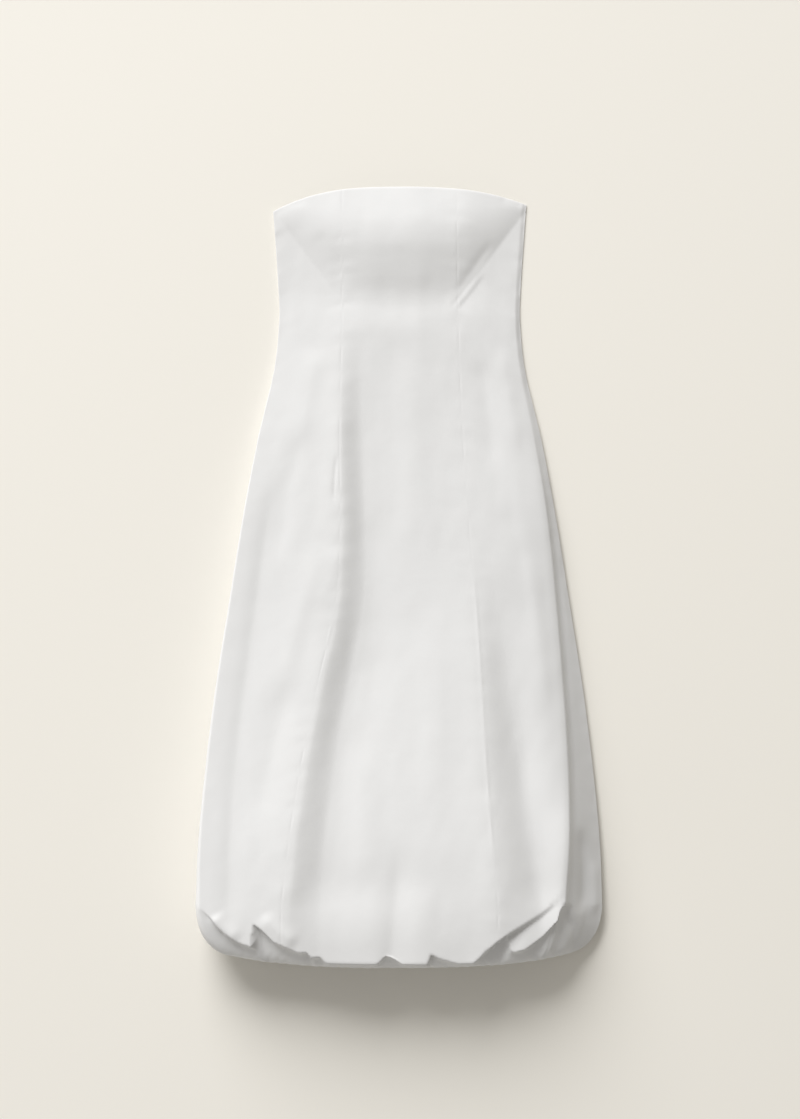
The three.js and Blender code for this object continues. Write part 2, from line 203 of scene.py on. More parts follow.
def fold_lift(x, y):
    """Height that all long folds add at the places x, on the levels y."""
    lift = np.zeros_like(x)
    for i, start in enumerate(FOLDS["start"]):
        f = {name: values[i] for name, values in FOLDS.items()}
        down = (start - y) / (start - f["stop"])
        line = f["sign"] * column(LEVELS, FOLD_BESIDE[int(f["seam"])], y)
        line = line + mix(f["top"], f["low"], down)
        wide = np.where(x < line, f["right"], f["left"])
        fade = ease((start - y) / f["fade"]) * ease((y - f["stop"]) / FOLD_END)
        lift += f["lift"] * fade * np.exp(-((np.abs(x - line) / wide) ** f["crisp"]))
    return lift


print("long folds:", len(FOLDS["start"]))

# %% [markdown]
# ## The dress laid smooth
#
# Seen end on, each slice of the dress is a low arch on a flat base. The front bulges a little
# between its two crests, the sides fall from there to the widest line, and the back rests on the
# ground. A side could be a plain quarter circle, but the two differ: the right one is upright and
# round, and the left one slopes down, as the dark band in the picture shows. A Bezier curve can be
# either. The bust and the long folds stand on this arch.

# %% One slice of the front
# Columns are counted from 0 in the middle to 1 at the widest line: the seams and the crests are here
SEAM_SPAN = 0.4
CREST_SPAN = 0.86
# A crest's height, as a share of the way from the widest line up to the middle
SHOULDER = {"bodice": 0.3, "skirt": 0.84}
# The two middle points of a side's curve, each with its share inwards and its share upwards
SIDE_NEAR_EDGE = {"right": (0.0, 0.8), "left": (0.34, 0.2)}
SIDE_NEAR_CREST = {"right": (0.2, 1.0), "left": (0.78, 0.52)}
# On the bodice the left side has its own point near the crest
BODICE_NEAR_CREST = (0.6, 0.9)
# The form of the bodice turns into that of the skirt between these two levels
CRISP_SIDE = (300.0, 60.0)
# A dent just beyond the skirt's left crest softens it
CREST_SOFT = {"depth": 5.0, "beyond": 6.0, "wide": 9.0}


def either(name, right, y):
    """A column of the levels that the two sides of the dress have apart."""
    return np.where(right, column(LEVELS, name + "_right", y), column(LEVELS, name + "_left", y))


def section_front(across, y):
    """Place and height of the front at shares of its width, from -1 to 1, on levels y."""
    far = np.abs(across)
    right = across < 0
    half, rise = column(LEVELS, "half", y), column(LEVELS, "rise", y)
    edge, wall, seam = (either(name, right, y) for name in ("edge", "wall", "seam"))
    crest_x = half - wall
    crisp = ease((CRISP_SIDE[0] - y) / (CRISP_SIDE[0] - CRISP_SIDE[1]))
    crest_z = mix(edge, rise, mix(SHOULDER["bodice"], SHOULDER["skirt"], crisp))
    beyond = mix(seam, crest_x, (far - SEAM_SPAN) / (CREST_SPAN - SEAM_SPAN))
    top_x = np.where(far < SEAM_SPAN, seam * far / SEAM_SPAN, beyond)
    top_z = mix(crest_z, rise, 1 - (top_x / crest_x) ** 2)
    t = clamp((1 - far) / (1 - CREST_SPAN))
    left_crest = [mix(BODICE_NEAR_CREST[k], SIDE_NEAR_CREST["left"][k], crisp) for k in (0, 1)]
    inward, upward = (
        bezier(
            t,
            np.where(right, SIDE_NEAR_EDGE["right"][k], SIDE_NEAR_EDGE["left"][k]),
            np.where(right, SIDE_NEAR_CREST["right"][k], left_crest[k]),
        )
        for k in (0, 1)
    )
    on_top = far < CREST_SPAN
    x = np.where(right, -1, 1) * np.where(on_top, top_x, half - wall * inward)
    lift = bust_mound(x, y) + fold_lift(x, y)
    beside = np.exp(-(((x - crest_x - CREST_SOFT["beyond"]) / CREST_SOFT["wide"]) ** 2))
    lift -= CREST_SOFT["depth"] * beside * crisp * (across > 0)
    return x, np.where(on_top, top_z + lift, mix(edge, crest_z, upward) + lift * upward)


_, turn_height = section_front(np.array([0.0]), np.array([TURN_LEVEL]))
print("height of the skirt where the hem turns:", round(float(turn_height[0]), 1), "mm")

# %% [markdown]
# ## The hidden back
#
# The dress lies on its back, so the weight of the cloth has pressed it flat, and it curves up to the
# widest line only at the sides. It could be left out, since the picture doesn't show it. But a dress
# is a shell that can be seen from all around, so the back is as complete as the front.

# %% One slice of the back
BACK_SEAM_SPAN = 0.5


def section_back(across, y):
    """The same for the back: flat on the ground, with a quarter turn up to the widest line."""
    far = np.abs(across)
    half, seam = column(LEVELS, "half", y), column(LEVELS, "seam_back", y)
    edge = either("edge", across < 0, y)
    flat = mix(seam, half - edge, (far - BACK_SEAM_SPAN) / (CREST_SPAN - BACK_SEAM_SPAN))
    angle = clamp((1 - far) / (1 - CREST_SPAN)) * math.pi / 2
    on_ground = far < CREST_SPAN
    x = np.where(far < BACK_SEAM_SPAN, seam * far / BACK_SEAM_SPAN, flat)
    x = np.where(on_ground, x, half - edge * (1 - np.cos(angle)))
    return np.sign(across) * x, np.where(on_ground, 0.0, edge * (1 - np.sin(angle)))


SECTION = {"front": section_front, "back": section_back}
print("sides that have a section:", ", ".join(SECTION))

# %% [markdown]
# ## The balloon hem
#
# A balloon hem is cut longer than the dress. Its end is gathered and caught up inside, so that the
# skirt rolls under like a bolster. From above one sees a crisp edge with a few notches, where the
# gathers pull it in, and below it the cloth that drops to the rim. Each column of the cloth goes
# straight on to that edge, turns down to the rim, turns in again and ends inside.

# %% The front's crisp edge and the lobe under it
FRONT_EDGE = table(
    "x y",
    [
        (-303, -489), (-290, -503), (-262, -531), (-240, -543), (-221, -549), (-217, -514),
        (-205, -523), (-187, -541), (-149, -558), (-138, -556), (-132, -565), (-118, -563),
        (-110, -572), (-97, -577), (-37, -579),
        (-20, -561), (-8, -566), (10, -578), (41, -579), (48, -559), (60, -566), (98, -577),
        (110, -574), (126, -560), (145, -541),
        (160, -531), (167, -555), (172, -557), (188, -553), (214, -534), (236, -511),
        (241, -494), (250, -480), (303, -480),
    ],
)
# At the wearer's left the edge is doubled: a lobe of cloth comes out under this line, and drop is how
# much lower the cloth lies beyond it
LOBE_LINE = table(
    "x y drop",
    [
        (110, -574, 0), (128, -556, 12), (145, -541, 13), (166, -527, 10), (187, -514, 6),
        (211, -499, 3.5), (230, -484, 2), (250, -462, 0),
    ],
)
LOBE_BAND = 5.0
LOBE_RISE = 0.4
LOBE_SPAN = 35.0
# The step has its full depth only where the cloth stands this high above the mouth
LOBE_FULL = 20.0
BACK_EDGE = 0.5
EDGE_LIMIT = 0.93
EDGE_POWER = 16


def edge_share(side, x, far, reach):
    """How much of the hem's reach lies before the edge where the cloth starts to drop."""
    fade = 1 - far**EDGE_POWER
    if side == "back":
        return BACK_EDGE * fade
    level = np.interp(x, FRONT_EDGE["x"], FRONT_EDGE["y"])
    return np.clip((TURN_LEVEL - level) / reach, 0.0, EDGE_LIMIT) * fade


def lobe_drop(x, y):
    """How much lower the cloth lies beyond the line under which the lobe comes out."""
    below = np.interp(x, LOBE_LINE["x"], LOBE_LINE["y"]) - y
    drop = np.interp(x, LOBE_LINE["x"], LOBE_LINE["drop"])
    return drop * ease(below / LOBE_BAND) * (1 - LOBE_RISE * clamp(below / LOBE_SPAN))


print("points along the crisp edge:", len(FRONT_EDGE["x"]))

# %% [markdown]
# ## From the neckline to the end inside the hem
#
# A column of cloth could be a row of points placed by hand, but there are hundreds. One number says
# how far down a column a point lies instead, and one function turns it into a place: it is 0 at the
# neckline, 1 where the hem turns, 2 at the rim, 3 at the gathered mouth and 4 where the cloth ends.

# %% Where each point of the cloth lies
NECK_CORNER = {"right": 548.0, "left": 558.0}
NECK_POWER = 2.7
BACK_DIP = 16.0
# The waist lies at this share of the way to where the hem turns, counted in rows
BODICE_SHARE = 0.5
# How far the hem reaches past the turn, in the middle and at the sides
HEM_REACH = 93.0
HEM_CORNER_REACH = 75.0
HEM_CORNER_POWER = 2.4
# How far the mouth lies in from the rim, and how far the cloth runs on from there
TURN_IN = 42.0
TURNED_IN = 90.0
# How much the cloth is drawn in at the sides, at the rim and at the mouth
HEM_PINCH = 0.208
MOUTH_PINCH = 0.3
MOUTH_HEIGHT = 36.0
# How much of its height over the mouth's level the cloth keeps, at the rim and at the mouth. Cloth
# above that level takes the front's share, and cloth below it the back's
LIP = {"front": 0.42, "back": 0.64}
MOUTH = {"front": 0.16, "back": 0.34}
# How a turn starts: how far it goes straight on, and how much of the drop comes first
LEAVE = {"front": 0.03, "back": 0.6, "seam": 0.45}
DIP = {"front": 0.5, "back": 0.0, "seam": 0.0}
RIM = 0.75
# The turn is soft by the side seams and beyond this place on the wearer's left
SOFT_POWER = 12
CRISP_END = 242.0
CRISP_FADE = 26.0
# The part of the rows that lies before the crisp edge, for each share of the reach that does
EDGE_ROWS = 0.6
LEAST_ROWS = 1e-6
# Above the mouth's level the slope, measured over a short step, goes on past the turn and dies away
SLOPE_STEP = 10.0
HEM_ROLL = 60.0


def neck_level(side, across):
    """The level of the neckline, which dips at its corners and at the back."""
    corner = np.where(across < 0, NECK_CORNER["right"], NECK_CORNER["left"])
    x, _ = SECTION[side](across, np.full_like(across, NECK_MIDDLE))
    far = np.abs(x) / LEVELS["half"][0]
    if side == "front":
        return NECK_MIDDLE - (NECK_MIDDLE - corner) * far**NECK_POWER
    middle = (NECK_CORNER["right"] + NECK_CORNER["left"]) / 2 - BACK_DIP
    return mix(middle, corner, far**2)


def smooth_cloth(side, across, down):
    """Points of the cloth without creases, at shares across and at places down its columns."""
    to_waist = mix(neck_level(side, across), WAIST, clamp(down / BODICE_SHARE))
    level = mix(to_waist, TURN_LEVEL, clamp((down - BODICE_SHARE) / (1 - BODICE_SHARE)))
    level = np.where(down < BODICE_SHARE, to_waist, level)
    x, z = SECTION[side](across, level)
    _, z_before = SECTION[side](across, level + SLOPE_STEP)
    far = np.abs(x) / LEVELS["half"][-1]
    reach = mix(HEM_REACH, HEM_CORNER_REACH, far**HEM_CORNER_POWER)
    over = z - MOUTH_HEIGHT
    lip = np.where(over > 0, LIP["front"], LIP["back"])
    mouth = np.where(over > 0, MOUTH["front"], MOUTH["back"])

    # From the turn to the rim: flat rows as far as the edge, then a quarter turn
    share = edge_share(side, x, far, reach)
    flat = np.maximum(EDGE_ROWS * share, LEAST_ROWS)
    past = clamp(down - 1)
    soft = np.maximum(far**SOFT_POWER, ease((x - CRISP_END) / CRISP_FADE) * (side == "front"))
    leave = mix(LEAVE[side], LEAVE["seam"], soft)
    dip = mix(DIP[side], DIP["seam"], soft)
    along, drop = quarter_turn(clamp((past - flat) / (1 - flat)), leave, RIM, dip)
    along = np.where(past < flat, share * past / flat, mix(share, 1, along))

    # From the rim to the mouth, and on to the end inside
    back_along, rise = quarter_turn(clamp(3 - down), RIM, RIM)
    turned = down > 2
    pinch = np.where(turned, mix(MOUTH_PINCH, HEM_PINCH, rise), HEM_PINCH * drop)
    keep = np.where(turned, mix(mouth, lip, rise), mix(1, lip, drop))
    inside = TURN_IN * (1 - back_along) + TURNED_IN * np.maximum(0, down - 3)
    y = np.where(turned, TURN_LEVEL - reach + inside, level - reach * along * (past > 0))

    # The slope goes on past the turn, and on the front the lobe steps down
    after = down > 1
    run = np.minimum(reach * along * (past > 0), HEM_ROLL)
    over = over + (z - z_before) / SLOPE_STEP * run * (1 - run / HEM_ROLL / 2) * (over > 0)
    over = over - lobe_drop(x, y) * (side == "front") * ease(over / LOBE_FULL)
    x = np.where(after, x * (1 - pinch * far), x)
    z = np.where(after, MOUTH_HEIGHT + over * keep, np.where(over > 0, MOUTH_HEIGHT + over, z))
    return np.stack([x, y, z], axis=-1)


print("lowest point of the rim:", round(TURN_LEVEL - HEM_REACH, 1), "mm")

# %% [markdown]
# ## A grid of rows and columns
#
# All three front panels share one grid, and so do the four back ones. Their edges then meet point
# for point, and folds run over the seams without a step. Columns crowd together at the seams, where
# a narrow groove needs them, and rows crowd at the crisp edge of the hem.

# %% Rows and columns of each side
# Where each stretch starts and stops, with its number of steps. Down the cloth they are the bodice,
# the skirt, the drop to the rim, the turn to the mouth and the end inside
ROW_STRETCHES = [
    (0.0, BODICE_SHARE, 66),
    (BODICE_SHARE, 1.0, 130),
    (1.0, 2.0, 46),
    (2.0, 3.0, 14),
    (3.0, 4.0, 10),
]
SEAM_COLUMNS = (0.004, 0.01, 0.02, 0.034)
COLUMN_DIGITS = 6
FRONT_STOPS = [(-1.0, -CREST_SPAN, 20), (-CREST_SPAN, -SEAM_SPAN, 50), (-SEAM_SPAN, SEAM_SPAN, 104),
               (SEAM_SPAN, CREST_SPAN, 50), (CREST_SPAN, 1.0, 20)]
BACK_STOPS = [(-1.0, -CREST_SPAN, 16), (-CREST_SPAN, -BACK_SEAM_SPAN, 26), (-BACK_SEAM_SPAN, 0.0, 40),
              (0.0, BACK_SEAM_SPAN, 40), (BACK_SEAM_SPAN, CREST_SPAN, 26), (CREST_SPAN, 1.0, 16)]


def spread(stretches):
    """Values along several stretches, each cut into its own number of equal steps."""
    parts = [np.linspace(a, b, count, endpoint=False) for a, b, count in stretches]
    return np.concatenate(parts + [[stretches[-1][1]]])


def columns_for(stops, seams):
    """Columns across one side, with a few extra ones close to each seam."""
    close = [seam + sign * step for seam in seams for step in SEAM_COLUMNS for sign in (-1, 1)]
    values = np.unique(np.round(np.concatenate([spread(stops), close]), COLUMN_DIGITS))
    return values[(values >= -1) & (values <= 1)]


DOWN = spread(ROW_STRETCHES)
ACROSS = {
    "front": columns_for(FRONT_STOPS, (-SEAM_SPAN, SEAM_SPAN)),
    "back": columns_for(BACK_STOPS, (-BACK_SEAM_SPAN, 0.0, BACK_SEAM_SPAN)),
}
print("rows:", len(DOWN), "and columns of the front:", len(ACROSS["front"]))

# %% Points of the smooth cloth, and the direction outwards at each
TINY = 1e-12


def outward(points, side):
    """The outward direction at each point of a grid."""
    along = np.gradient(points, axis=0)
    over = np.gradient(points, axis=1)
    normal = np.cross(along, over) if side == "front" else np.cross(over, along)
    return normal / np.maximum(np.linalg.norm(normal, axis=-1, keepdims=True), TINY)


GRID = {side: np.meshgrid(ACROSS[side], DOWN) for side in ("front", "back")}
SMOOTH = {side: smooth_cloth(side, *GRID[side]) for side in GRID}
OUT = {side: outward(SMOOTH[side], side) for side in GRID}

# Front and back share one direction along the side seams
for column_index in (0, -1):
    shared = OUT["front"][:, column_index] + OUT["back"][:, column_index]
    shared /= np.linalg.norm(shared, axis=-1, keepdims=True)
    for side in OUT:
        OUT[side][:, column_index] = shared
print("grid of the front:", SMOOTH["front"].shape[:2], "and of the back:", SMOOTH["back"].shape[:2])

# %% [markdown]
# ## Creases
#
# Cotton poplin is crisp, so it breaks into creases instead of flowing. A cloth simulation gives
# creases too, but never where a picture has them. Here each one is listed: three points of its
# path, how far it lifts the cloth or sinks it, how wide it is to the left and to the right of that
# path, and how sharp it is.

# %% A crease along a curved path
CREASE_COLUMNS = "x0 y0 x1 y1 x2 y2 lift before after crisp"
CREASE_STEPS = 14
# A crease is worked out only within this many of its widths, and each end fades over this share
CREASE_ROOM = 3
CREASE_END = 0.25


def crease_height(x, y, crease):
    """Height that one crease adds at the places x, y. Its ends fade out."""
    t = np.linspace(0, 1, CREASE_STEPS + 1)
    weights = np.stack([(1 - t) * (1 - 2 * t), 4 * t * (1 - t), t * (2 * t - 1)])
    path_x = weights.T @ np.array([crease["x0"], crease["x1"], crease["x2"]])
    path_y = weights.T @ np.array([crease["y0"], crease["y1"], crease["y2"]])
    room = CREASE_ROOM * max(crease["before"], crease["after"])
    near = (x > path_x.min() - room) & (x < path_x.max() + room)
    near &= (y > path_y.min() - room) & (y < path_y.max() + room)
    height = np.zeros_like(x)
    px, py = x[near], y[near]
    best = np.full(px.shape, np.inf)
    aside = np.zeros_like(px)
    place = np.zeros_like(px)
    for k in range(CREASE_STEPS):
        ax, ay = path_x[k], path_y[k]
        dx, dy = path_x[k + 1] - ax, path_y[k + 1] - ay
        share = clamp(((px - ax) * dx + (py - ay) * dy) / (dx * dx + dy * dy))
        gap = np.hypot(px - ax - share * dx, py - ay - share * dy)
        closer = gap < best
        turn = dx * (py - ay) - dy * (px - ax)
        best = np.where(closer, gap, best)
        aside = np.where(closer, np.where(turn > 0, gap, -gap), aside)
        place = np.where(closer, t[k] + share / CREASE_STEPS, place)
    wide = np.where(aside > 0, crease["before"], crease["after"])
    fade = ease(place / CREASE_END) * ease((1 - place) / CREASE_END)
    height[near] = crease["lift"] * fade * np.exp(-((np.abs(aside) / wide) ** crease["crisp"]))
    return height


def creases(x, y, rows):
    """The sum of a whole table of creases."""
    total = np.zeros_like(x)
    for i in range(len(rows["lift"])):
        total += crease_height(x, y, {name: values[i] for name, values in rows.items()})
    return total


print("each crease is a path of", CREASE_STEPS, "short steps")

# %% The creases of the front and of the hidden back
FRONT_CREASES = table(
    CREASE_COLUMNS,
    [
        # Bust: the tuck at the end of the left crease, and a dent inside the right one
        (85, 400, 106, 424, 131, 458, -0.9, 2.5, 14, 1.6),
        (76, 402, 92, 424, 118, 458, -0.45, 2.5, 3, 1.6),
        (82, 420, 110, 462, 142, 508, -1.0, 7, 7, 1.8),
        (-122, 524, -104, 484, -84, 446, -1.0, 12, 14, 1.8),
        # Neckline: a dip inside each corner
        (-192, 546, -168, 558, -130, 572, -1.6, 8, 10, 1.6),
        (189, 556, 170, 566, 150, 572, -1.2, 7, 7, 1.6),
        # Waist: a low swell across the middle
        (-100, 372, -30, 374, 60, 370, 0.7, 14, 20, 2),
        # Waist and hips, wearer's right
        (-93, 184, -97, 150, -98, 112, -1.3, 3, 3, 1.3),
        (-122, 346, -136, 280, -150, 190, 1.8, 16, 22, 1.8),
        (-90, 50, -102, 4, -126, -50, 1.1, 12, 18, 1.8),
        (-150, 220, -168, 120, -190, 0, -1.6, 16, 20, 1.8),
        (-120, 60, -150, -60, -190, -200, 1.8, 18, 22, 1.8),
        (-160, -150, -190, -260, -214, -390, -2.0, 20, 22, 1.8),
        # Waist and hips, wearer's left
        (150, 330, 158, 120, 164, -60, 1.2, 45, 70, 1.8),
        (118, 330, 132, 250, 140, 150, -1.8, 14, 18, 1.8),
        (150, 350, 164, 270, 180, 170, 1.8, 14, 16, 1.8),
        (160, 120, 180, 20, 196, -110, -1.8, 16, 22, 1.8),
        (186, 40, 206, -70, 218, -220, 2.0, 16, 18, 1.8),
        # Middle of the skirt
        (10, 330, 20, 180, 40, 20, 1.6, 26, 30, 2),
        (-40, 120, -30, -40, -20, -190, -1.6, 28, 30, 2),
        (40, -60, 50, -210, 44, -370, 1.8, 28, 28, 2),
        (-60, -240, -50, -350, -60, -470, 2.0, 26, 24, 2),
        # Hem: bright and dark facets of the side next to the lobe
        (290, -424, 297, -466, 288, -508, 4, 7, 7, 1.6),
        (268, -370, 277, -440, 270, -505, -4, 8, 10, 1.6),
        (244, -500, 262, -530, 252, -560, -3.5, 7, 8, 1.6),
        # Hem: soft tucks
        (2, -390, -8, -520, -22, -640, -2.8, 26, 15, 1.8),
        (30, -450, 38, -530, 54, -640, 1.2, 20, 40, 1.8),
        (-278, -500, -262, -520, -236, -540, 3, 12, 8, 1.6),
        (-206, -500, -180, -524, -150, -545, 2.6, 12, 14, 1.8),
    ],
)
BACK_CREASES = table(
    CREASE_COLUMNS,
    [
        (-70, 496, -30, 472, 40, 462, -1.0, 10, 14, 1.8),
        (-60, 360, -80, 220, -96, 60, -1.4, 14, 20, 1.8),
        (40, 340, 58, 160, 76, -40, -1.8, 18, 14, 1.8),
        (130, 240, 150, 80, 168, -120, -1.3, 14, 22, 1.8),
        (-130, 160, -160, -20, -176, -220, -1.6, 20, 16, 1.8),
        (-20, -40, -34, -220, -40, -430, -2.0, 22, 26, 2),
        (190, -120, 214, -270, 232, -440, -1.7, 18, 22, 1.8),
        (-230, -180, -244, -320, -250, -450, -1.5, 14, 20, 1.8),
        (60, -200, 84, -340, 100, -540, -2.2, 20, 18, 1.8),
        (-110, -260, -128, -390, -120, -540, -1.9, 16, 24, 1.8),
    ],
)
CREASES = {"front": FRONT_CREASES, "back": BACK_CREASES}
for side, rows in CREASES.items():
    deepest, highest = rows["lift"].min(), rows["lift"].max()
    print(side, "creases:", len(rows["lift"]), "from", deepest, "to", highest, "mm")

# %% [markdown]
# ## Seams, gathers and small unevenness
#
# A seam is two edges stitched together and pressed, so it shows as a fine groove with tiny puckers
# beside it. The gathered end of the balloon hem stands in many small waves, uneven in width. And no
# cloth lies perfectly smooth: slow, shallow swells are what the eye reads as soft fabric.

# %% Soft random swells
LATTICE = 64
LATTICE_START = (17.3, 9.1)


def swell(u, v, size, seed):
    """Smooth random height between -1 and 1, with swells of about the given size."""
    lattice = np.random.default_rng(seed).uniform(-1, 1, (LATTICE, LATTICE))
    a, b = u / size + LATTICE_START[0], v / size + LATTICE_START[1]
    i, j = np.floor(a).astype(int), np.floor(b).astype(int)
    p, q = ease(a - i), ease(b - j)

    def corner(di, dj):
        return lattice[(i + di) % LATTICE, (j + dj) % LATTICE]

    low = mix(corner(0, 0), corner(1, 0), p)
    high = mix(corner(0, 1), corner(1, 1), p)
    return mix(low, high, q)


def swells(u, v, layers, seed):
    """Swells on top of each other, each with its strength, its stretch of v and its size."""
    return sum(
        strength * swell(u, v * stretch, size, seed + k)
        for k, (strength, stretch, size) in enumerate(layers)
    )


print("swells repeat after", LATTICE, "of their own sizes")

# %% Seams and gathers
# The groove of a seam, whose depth varies along it. apart keeps two seams from looking the same
GROOVE = {"depth": 0.15, "width": 1.5, "least": 0.6, "varies": 0.4, "length": 26.0, "apart": 30.0}
GROOVE_SEED = 15
# Puckers beside a seam, which start a little way from it and die away
PUCKER = {"height": 0.45, "start": 3.0, "reach": 15.0, "length": 11.0, "slant": 0.3, "apart": 40.0}
PUCKER_SEED = 5
# Over the bust the right seam is pressed so flat that it hardly shows
BUST_PRESSED = 0.85
PRESSED_FADE = 40.0
GATHER_DEPTH = 3.2
GATHER_PITCH = 15.0
GATHER_WARP = [(0.45, 3, 34.0), (0.2, 9, 13.0)]
GATHER_SIZE = 0.75
GATHER_VARIES = [(0.45, 2, 47.0)]
# The gathers grow in two stages: the share of each, where it starts and how long it takes
GATHER_GROWTH = [(0.12, 1.5, 0.5), (0.88, 2, 0.9)]


def lengths(points, axis):
    """Length of the cloth from the first row or column to each point."""
    steps = np.linalg.norm(np.diff(points, axis=axis), axis=-1)
    zero = np.zeros_like(np.take(steps, [0], axis=axis))
    return np.concatenate([zero, np.cumsum(steps, axis=axis)], axis=axis)


def seam_relief(side, seams, width_mm, length_mm, y):
    """Groove and puckers along each seam, given as heights over the grid."""
    relief = np.zeros_like(width_mm)
    for number, seam in enumerate(seams):
        place = np.argmin(np.abs(ACROSS[side] - seam))
        away = np.abs(width_mm - width_mm[:, place : place + 1])
        slant = away * PUCKER["slant"] + PUCKER["apart"] * number
        wave = swell(length_mm, slant, PUCKER["length"], PUCKER_SEED + number)
        varies = swell(length_mm, GROOVE["apart"] * number, GROOVE["length"], GROOVE_SEED + number)
        uneven = GROOVE["least"] + GROOVE["varies"] * varies
        pressed = 1 - BUST_PRESSED * ease((y - WAIST) / PRESSED_FADE) * (seam == -SEAM_SPAN)
        relief -= GROOVE["depth"] * uneven * pressed * np.exp(-((away / GROOVE["width"]) ** 2))
        puckers = PUCKER["height"] * wave * np.exp(-away / PUCKER["reach"])
        relief += puckers * clamp(away / PUCKER["start"])
    return relief


def gather_relief(down, width_mm, seed):
    """Waves of the gathered cloth, which grow towards its end inside the hem."""
    warp = swells(width_mm, down, GATHER_WARP, seed)
    wave = np.cos(2 * math.pi * (width_mm / GATHER_PITCH + warp))
    size = GATHER_SIZE + swells(width_mm, down, GATHER_VARIES, seed + len(GATHER_WARP))
    grown = sum(share * ease((down - start) / over) for share, start, over in GATHER_GROWTH)
    return -GATHER_DEPTH * wave * size * grown


print("gathers at the hem: one every", GATHER_PITCH, "mm")

# %% Add the fine form to the smooth cloth
SEAMS = {
    "front": (-1.0, -SEAM_SPAN, SEAM_SPAN, 1.0),
    "back": (-1.0, -BACK_SEAM_SPAN, 0.0, BACK_SEAM_SPAN, 1.0),
}
SLOW_SWELL = [(0.7, 0.25, 38.0), (0.25, 0.5, 17.0)]
SLOW_SEED = 5
SEEDS = {"front": 11, "back": 23}
# The back is pressed flat, so it swells less, and only in the hem
BACK_SWELL = 0.3
# Only seam grooves and puckers reach the side seams: the rest fades over this share of the width
CALM = 0.05
# Creases need cloth that faces up or down: they start at this slope and are full this much further
CREASE_SLOPE = 0.15
CREASE_FULL = 0.5
CLOTH_POINTS = {}
for side, seed in SEEDS.items():
    across, down = GRID[side]
    points = SMOOTH[side]
    width_mm, length_mm = lengths(points, 1), lengths(points, 0)
    x, y = points[..., 0], points[..., 1]
    calm = ease((1 - np.abs(across)) / CALM)
    height = seam_relief(side, SEAMS[side], width_mm, length_mm, y)
    height += gather_relief(down, width_mm - width_mm[:, -1:] / 2, seed) * calm
    slow = swells(x, y, SLOW_SWELL, seed + SLOW_SEED)
    level_cloth = ease((np.abs(OUT[side][..., 2]) - CREASE_SLOPE) / CREASE_FULL) * (down < 2)
    height += creases(x, y, CREASES[side]) * level_cloth * calm
    height += slow * calm * (down < 2) * (1 if side == "front" else BACK_SWELL * (down > 1))
    CLOTH_POINTS[side] = points + OUT[side] * height[..., None]
    print(side, "relief from", round(float(height.min()), 1), "to", round(float(height.max()), 1), "mm")

# The back never goes below the ground that it lies on
CLOTH_POINTS["back"][..., 2] = np.maximum(CLOTH_POINTS["back"][..., 2], 0.0)

# %% [markdown]
# ## From the grid to panels
#
# Each panel is cut out of its side's grid. At the neckline the cloth is folded in, because a raw
# edge would fray: a few more rows roll over the edge and run down a centimetre inside. The grid is
# only the outer face, and a Solidify modifier gives it the thickness of the cloth.

# %% Make the panels
CLOTH_MAP = "cloth"
PANELS = [
    ("side_front_right", "front", -1.0, -SEAM_SPAN),
    ("centre_front", "front", -SEAM_SPAN, SEAM_SPAN),
    ("side_front_left", "front", SEAM_SPAN, 1.0),
    ("side_back_right", "back", -1.0, -BACK_SEAM_SPAN),
    ("centre_back_right", "back", -BACK_SEAM_SPAN, 0.0),
    ("centre_back_left", "back", 0.0, BACK_SEAM_SPAN),
    ("side_back_left", "back", BACK_SEAM_SPAN, 1.0),
]
THICKNESS = 0.5
NECK_FOLD = 1.1
NECK_FOLD_ROWS = 4
# Rows that roll over the edge: how far down from it, less than 0 above it, and their share of the
# fold's depth inwards
NECK_ROLL = [(0.0, 1.0), (-0.45, 0.85), (-0.65, 0.5), (-0.45, 0.15)]


def neck_rows(points, normals):
    """Rows of the edge that is folded in at the neckline, from its inner end up to the roll."""
    inner = points[NECK_FOLD_ROWS:0:-1] - normals[NECK_FOLD_ROWS:0:-1] * NECK_FOLD
    down = points[1] - points[0]
    down /= np.linalg.norm(down, axis=-1, keepdims=True)
    roll = [points[0] + down * s - normals[0] * NECK_FOLD * depth for s, depth in NECK_ROLL]
    return np.concatenate([inner, np.array(roll)])


def sharpen_border(mesh, rows, wide):
    """Keeps the shading of a panel's face from bending over its cut edge."""
    ends = np.zeros(len(mesh.edges) * 2, int)
    mesh.edges.foreach_get("vertices", ends)
    row, place = np.divmod(ends.reshape(-1, 2), wide)
    border = np.zeros(len(mesh.edges), bool)
    for line in (0, rows - 1):
        border |= (row == line).all(axis=1)
    for line in (0, wide - 1):
        border |= (place == line).all(axis=1)
    sharp = mesh.attributes.new("sharp_edge", "BOOLEAN", "EDGE")
    sharp.data.foreach_set("value", border)


